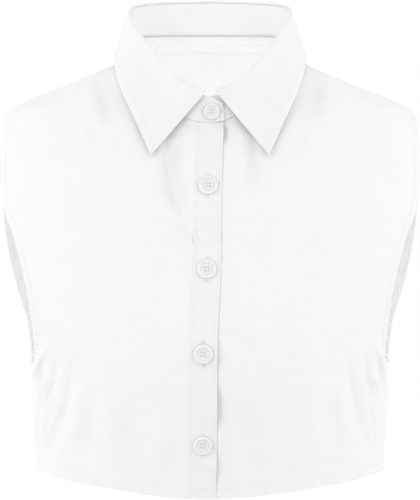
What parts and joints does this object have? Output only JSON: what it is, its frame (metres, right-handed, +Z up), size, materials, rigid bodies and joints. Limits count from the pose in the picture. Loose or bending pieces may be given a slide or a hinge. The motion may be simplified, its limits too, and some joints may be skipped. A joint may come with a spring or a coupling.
{
  "type": "detachable shirt collar, sleeveless half shirt",
  "caption": "Half-shirt front and back with a pointed shirt collar on a stand, button bands, open armholes and a short straight hem, worn under a jumper.",
  "frame": {"origin": "middle of the neck at the height of the side neck points, where the wearer's neck and shoulders carry it", "axes": "+Z up the wearer, -Y to the wearer's front, +X to the wearer's left"},
  "size_m": [0.34, 0.2175, 0.3829],
  "materials": {
    "cloth": "white cotton poplin, plain weave, pressed",
    "button": "white cast polyester, polished"
  },
  "bodies": {
    "root": {"front_right": "cloth", "front_left": "cloth", "back": "cloth", "placket_right": "cloth", "placket_left": "cloth", "collar_stand": "cloth", "collar_leaf": "cloth", "neck_tape": "cloth", "button_1": "button", "button_2": "button", "button_3": "button", "button_4": "button", "button_5": "button"}
  },
  "joints": []
}
